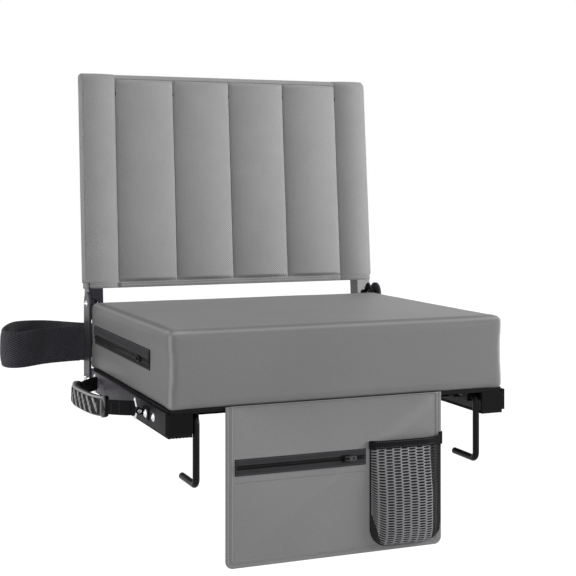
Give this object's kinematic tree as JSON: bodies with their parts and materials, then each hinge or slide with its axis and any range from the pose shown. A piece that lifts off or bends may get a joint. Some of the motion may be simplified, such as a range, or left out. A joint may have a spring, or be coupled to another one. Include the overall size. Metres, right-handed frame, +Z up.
{
  "type": "folding bleacher seat",
  "caption": "Padded box seat on steel rails with a reclined channelled back that folds forward, swing-in bench hooks, carry handle, shoulder strap and a hanging front flap with pocket.",
  "frame": {"origin": "on the bench top, midway between the two rails and below the middle of the cushion's depth", "axes": "+Z up, -Y towards the sitter's knees, +X towards the side without the carry handle"},
  "size_m": [0.559, 0.5076, 0.5888],
  "materials": {
    "black_steel": "semi-gloss black enamel",
    "grey_steel": "satin dark grey enamel",
    "dark_chrome": "smooth dark grey, slightly glossy",
    "zinc_steel": "bright zinc plated",
    "black_plastic": "moulded, fine texture",
    "grip_plastic": "moulded, soft sheen",
    "black_rubber": "ribbed rubber",
    "dark_board": "dark stained plywood",
    "cushion_cloth": "coated grey cloth, smooth",
    "back_cloth": "grey woven canvas, fine weave",
    "flap_cloth": "coated grey cloth with bound edges",
    "black_webbing": "flat woven webbing",
    "strap_cloth": "charcoal woven padding with edge stitching",
    "zip_tape": "black zip tape",
    "pocket_mesh": "open knit mesh"
  },
  "bodies": {
    "seat": {"left_runner": "black_steel", "right_runner": "black_steel", "left_side_plate": "grey_steel", "right_side_plate": "grey_steel", "runner_end_caps": "black_plastic", "left_grip_strip": "black_rubber", "right_grip_strip": "black_rubber", "front_cross_bar": "black_steel", "rear_cross_bar": "black_steel", "seat_board": "dark_board", "board_screws": "zinc_steel", "seat_cushion": "cushion_cloth", "side_zip_tape": "zip_tape", "side_zip_coil": "black_plastic", "left_hinge_bracket": "grey_steel", "right_hinge_bracket": "grey_steel", "rail_rivets": "zinc_steel", "pivot_bolts": "zinc_steel", "pivot_nuts": "black_steel", "pivot_bushes": "black_plastic", "recline_stop_pins": "zinc_steel", "hook_bearing_blocks": "black_steel", "handle_tabs": "grey_steel", "strap_studs": "zinc_steel", "strap_nuts": "black_steel", "shoulder_strap": "black_webbing", "shoulder_pad": "strap_cloth"},
    "backrest": {"left_upright": "black_steel", "right_upright": "black_steel", "upright_end_plugs": "black_plastic", "top_cross_tube": "black_steel", "backrest_pad": "back_cloth", "curved_back_bar": "dark_chrome", "bar_keeper_loop": "black_webbing"},
    "left_bench_hook": {"left_hook": "black_steel", "left_hook_collar": "zinc_steel"},
    "right_bench_hook": {"right_hook": "black_steel", "right_hook_collar": "zinc_steel"},
    "carry_handle": {"handle_stems": "zinc_steel", "handle_rings": "zinc_steel", "handle_webbing": "black_webbing", "handle_grip": "grip_plastic"},
    "flap": {"front_flap": "flap_cloth", "flap_zip_tape": "zip_tape", "flap_zip_coil": "black_plastic", "mesh_pocket": "pocket_mesh", "pocket_top_band": "black_webbing"},
    "side_slider": {"side_zip_slider": "black_plastic"},
    "side_pull": {"side_zip_pull": "black_plastic"},
    "flap_slider": {"flap_zip_slider": "black_plastic"},
    "flap_pull": {"flap_zip_pull": "zinc_steel"}
  },
  "joints": [
    {"name": "backrest_fold", "type": "hinge", "parent": "seat", "child": "backrest", "pos_m": [0, 0.1865, 0.1175], "axis": [1, 0, 0], "range_deg": [0, 95]},
    {"name": "left_hook_fold", "type": "hinge", "parent": "seat", "child": "left_bench_hook", "pos_m": [-0.1805, -0.13, 0.0207], "axis": [0, -1, 0], "range_deg": [0, 90]},
    {"name": "right_hook_fold", "type": "hinge", "parent": "seat", "child": "right_bench_hook", "pos_m": [0.1805, -0.13, 0.0207], "axis": [0, 1, 0], "range_deg": [0, 90]},
    {"name": "handle_tilt", "type": "hinge", "parent": "seat", "child": "carry_handle", "pos_m": [-0.225, 0.0235, 0.0185], "axis": [0, 1, 0], "range_deg": [-10, 20]},
    {"name": "flap_swing", "type": "hinge", "parent": "seat", "child": "flap", "pos_m": [-0.01, -0.17625, 0.02995], "axis": [1, 0, 0], "range_deg": [-110, 0]},
    {"name": "side_zip_slide", "type": "slide", "parent": "seat", "child": "side_slider", "axis": [0, 1, 0], "range_m": [-0.036, 0.2]},
    {"name": "side_pull_swing", "type": "hinge", "parent": "side_slider", "child": "side_pull", "pos_m": [-0.21765, -0.0554, 0.0745], "axis": [0, 0, -1], "range_deg": [0, 170]},
    {"name": "flap_zip_slide", "type": "slide", "parent": "flap", "child": "flap_slider", "axis": [1, 0, 0], "range_m": [-0.128, 0.02]},
    {"name": "flap_pull_swing", "type": "hinge", "parent": "flap_slider", "child": "flap_pull", "pos_m": [-0.0011, -0.18135, -0.0383], "axis": [0, 0, -1], "range_deg": [0, 170]}
  ]
}
